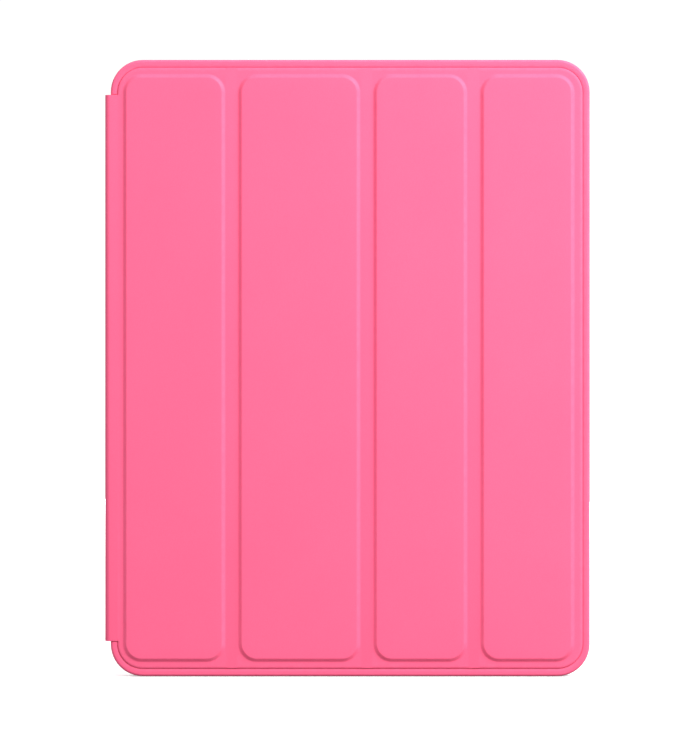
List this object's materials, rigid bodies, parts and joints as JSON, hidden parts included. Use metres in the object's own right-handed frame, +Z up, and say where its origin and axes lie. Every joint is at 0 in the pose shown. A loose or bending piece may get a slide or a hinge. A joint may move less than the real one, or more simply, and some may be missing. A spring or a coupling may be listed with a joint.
{
  "type": "folio tablet case",
  "caption": "Folio case for a 9.7-inch-class tablet: lined tray, hinged spine and a folding cover of raised panels that closes over the screen and rolls up.",
  "frame": {"origin": "middle of the closed case's bounding box, on the surface that its bottom edge stands on", "axes": "+Z up the case's height, +X to the right seen from the front, so the cover faces -Y and the back faces +Y"},
  "size_m": [0.195, 0.014, 0.248],
  "materials": {
    "polyurethane_skin": "fine matte grain, soft sheen",
    "microfibre_lining": "brushed microfibre",
    "stiffener_board": "matt composite board",
    "moulded_frame": "matt moulded",
    "steel": "rolled sheet",
    "magnet": "nickel plated",
    "button_pad": "soft matte"
  },
  "bodies": {
    "tray": {"tray_skin": "polyurethane_skin", "tray_board": "stiffener_board", "tray_frame": "moulded_frame", "tray_lining": "microfibre_lining"},
    "spine": {"spine_skin": "polyurethane_skin", "spine_board": "stiffener_board", "spine_lining": "microfibre_lining"},
    "panel_1": {"panel_1_skin": "polyurethane_skin", "panel_1_board": "stiffener_board", "panel_1_lining": "microfibre_lining", "steel_plates": "steel"},
    "panel_2": {"panel_2_skin": "polyurethane_skin", "panel_2_board": "stiffener_board", "panel_2_lining": "microfibre_lining"},
    "panel_3": {"panel_3_skin": "polyurethane_skin", "panel_3_board": "stiffener_board", "panel_3_lining": "microfibre_lining"},
    "panel_4": {"panel_4_skin": "polyurethane_skin", "panel_4_board": "stiffener_board", "panel_4_lining": "microfibre_lining", "edge_magnets": "magnet", "wake_magnet": "magnet"},
    "sleep_button": {"sleep_button": "button_pad"},
    "volume_up_button": {"volume_up_button": "button_pad"},
    "volume_down_button": {"volume_down_button": "button_pad"}
  },
  "joints": [
    {"name": "spine_hinge", "type": "hinge", "parent": "tray", "child": "spine", "pos_m": [-0.09748, 0.007, 0.124], "axis": [0, 0, -1], "range_deg": [0, 262]},
    {"name": "cover_hinge", "type": "hinge", "parent": "spine", "child": "panel_1", "pos_m": [-0.09642, -0.00495, 0.124], "axis": [0, 0, -1], "range_deg": [0, 98]},
    {"name": "fold_1_2", "type": "hinge", "parent": "panel_1", "child": "panel_2", "pos_m": [-0.04648, -0.006, 0.124], "axis": [0, 0, 1], "range_deg": [-127.9, 0]},
    {"name": "fold_2_3", "type": "hinge", "parent": "panel_2", "child": "panel_3", "pos_m": [0.00783, -0.006, 0.124], "axis": [0, 0, 1], "range_deg": [-121.5, 0]},
    {"name": "fold_3_4", "type": "hinge", "parent": "panel_3", "child": "panel_4", "pos_m": [0.05083, -0.006, 0.124], "axis": [0, 0, 1], "range_deg": [-110.6, 0]},
    {"name": "sleep_button_press", "type": "slide", "parent": "tray", "child": "sleep_button", "axis": [0, 0, -1], "range_m": [0, 0.0004], "stiffness_N_per_m": 1500},
    {"name": "volume_up_press", "type": "slide", "parent": "tray", "child": "volume_up_button", "axis": [-1, 0, 0], "range_m": [0, 0.0004], "stiffness_N_per_m": 1500},
    {"name": "volume_down_press", "type": "slide", "parent": "tray", "child": "volume_down_button", "axis": [-1, 0, 0], "range_m": [0, 0.0004], "stiffness_N_per_m": 1500}
  ]
}
